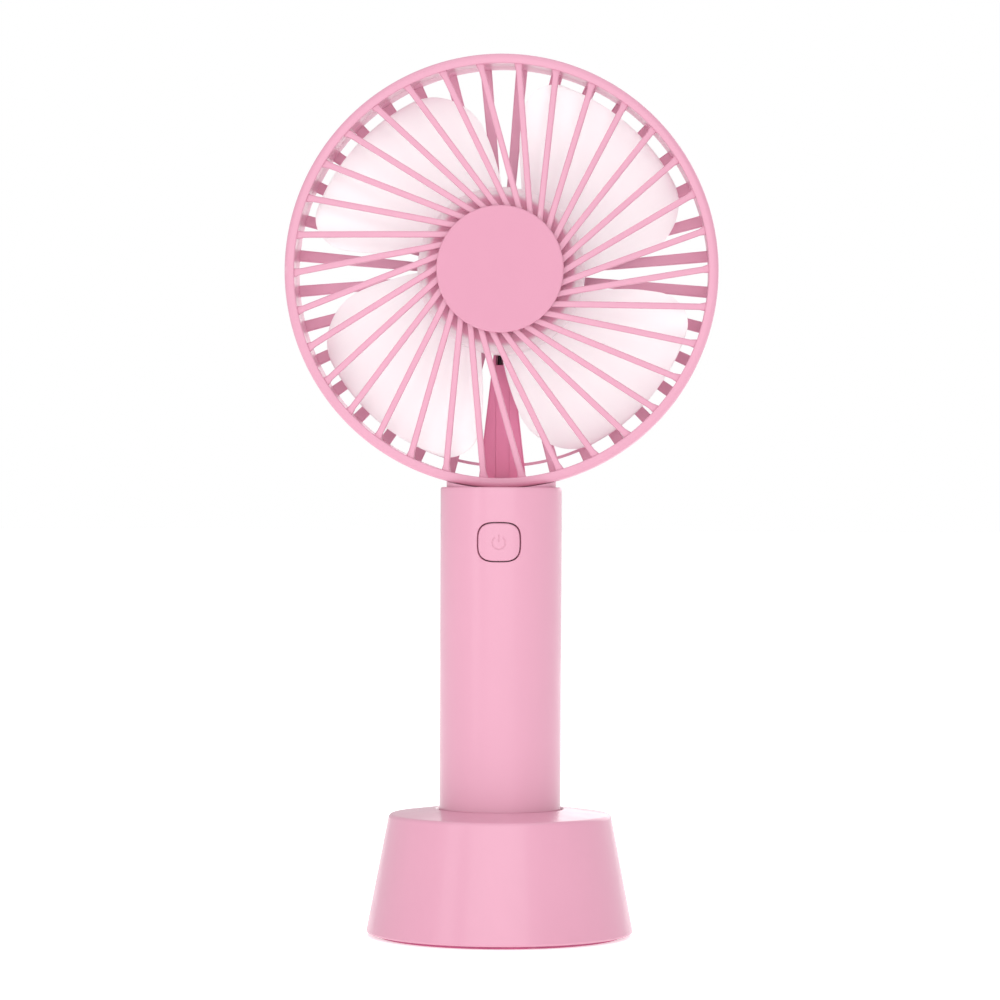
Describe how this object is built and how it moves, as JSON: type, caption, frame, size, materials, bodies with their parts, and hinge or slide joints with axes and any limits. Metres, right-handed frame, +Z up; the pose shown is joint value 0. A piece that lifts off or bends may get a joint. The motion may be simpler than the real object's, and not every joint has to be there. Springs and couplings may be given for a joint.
{
  "type": "handheld electric fan",
  "caption": "Handheld fan with a round guarded head, wide pale blades, a straight handle with a push button, and a tapered desk stand it lifts out of.",
  "frame": {"origin": "centre of the stand's underside, on the surface it stands on", "axes": "+Z up along the handle, the fan faces -Y, +X to the right as seen from the front"},
  "size_m": [0.105, 0.0648, 0.2138],
  "materials": {
    "pink_plastic": "satin moulded, fine spark-eroded grain",
    "milky_plastic": "milky, faint pink tint, polished",
    "rubber_pad": "matt sheet",
    "plated_steel": "nickel plated",
    "black_plastic": "matt moulded",
    "red_insulation": "soft wire jacket",
    "green_board": "solder mask",
    "bronze_bush": "sintered",
    "copper_winding": "enamelled",
    "ferrite": "pressed ferrite",
    "cell_sleeve": "shrink sleeve",
    "led_lens": "translucent white"
  },
  "bodies": {
    "stand": {"stand_shell": "pink_plastic", "stand_base_plate": "pink_plastic", "stand_foot_pad": "rubber_pad", "stand_screw_1": "plated_steel", "stand_screw_2": "plated_steel", "stand_screw_3": "plated_steel"},
    "fan": {"handle_front_shell": "pink_plastic", "handle_rear_shell": "pink_plastic", "handle_screw_left": "plated_steel", "handle_screw_right": "plated_steel", "battery_cell": "cell_sleeve", "battery_plus_contact": "plated_steel", "battery_minus_strip": "plated_steel", "control_board": "green_board", "driver_chip": "black_plastic", "switch_body": "black_plastic", "charge_board": "green_board", "usb_socket": "plated_steel", "usb_tongue": "black_plastic", "charge_led": "led_lens", "rear_grille": "pink_plastic", "motor_cover": "pink_plastic", "wire_cover": "pink_plastic", "motor_wire_red": "red_insulation", "motor_wire_black": "black_plastic", "motor_can": "plated_steel", "motor_end_cap": "black_plastic", "motor_magnet_left": "ferrite", "motor_magnet_right": "ferrite", "motor_bush_front": "bronze_bush", "motor_bush_rear": "bronze_bush", "motor_screw_left": "plated_steel", "motor_screw_right": "plated_steel"},
    "cap": {"bottom_cap": "pink_plastic", "battery_spring": "plated_steel"},
    "button": {"power_button": "pink_plastic", "switch_plunger": "black_plastic"},
    "guard": {"front_grille": "pink_plastic", "hub_badge": "pink_plastic"},
    "rotor": {"fan_rotor": "milky_plastic", "motor_shaft": "plated_steel", "motor_armature": "copper_winding", "motor_commutator": "copper_winding"}
  },
  "joints": [
    {"name": "fan_lift", "type": "slide", "parent": "stand", "child": "fan", "axis": [0, 0, 1], "range_m": [0, 0.03]},
    {"name": "rotor_spin", "type": "hinge", "parent": "fan", "child": "rotor", "pos_m": [0, 0, 0.1613], "axis": [0, 1, 0], "continuous": true},
    {"name": "button_press", "type": "slide", "parent": "fan", "child": "button", "axis": [0, 1, 0], "range_m": [0, 0.0005], "stiffness_N_per_m": 800, "springref_m": -0.0005},
    {"name": "guard_twist", "type": "hinge", "parent": "fan", "child": "guard", "pos_m": [0, 0, 0.1613], "axis": [0, -1, 0], "range_deg": [0, 8]},
    {"name": "cap_twist", "type": "hinge", "parent": "fan", "child": "cap", "pos_m": [0, 0, 0.0083], "axis": [0, 0, -1], "range_deg": [0, 20]}
  ]
}
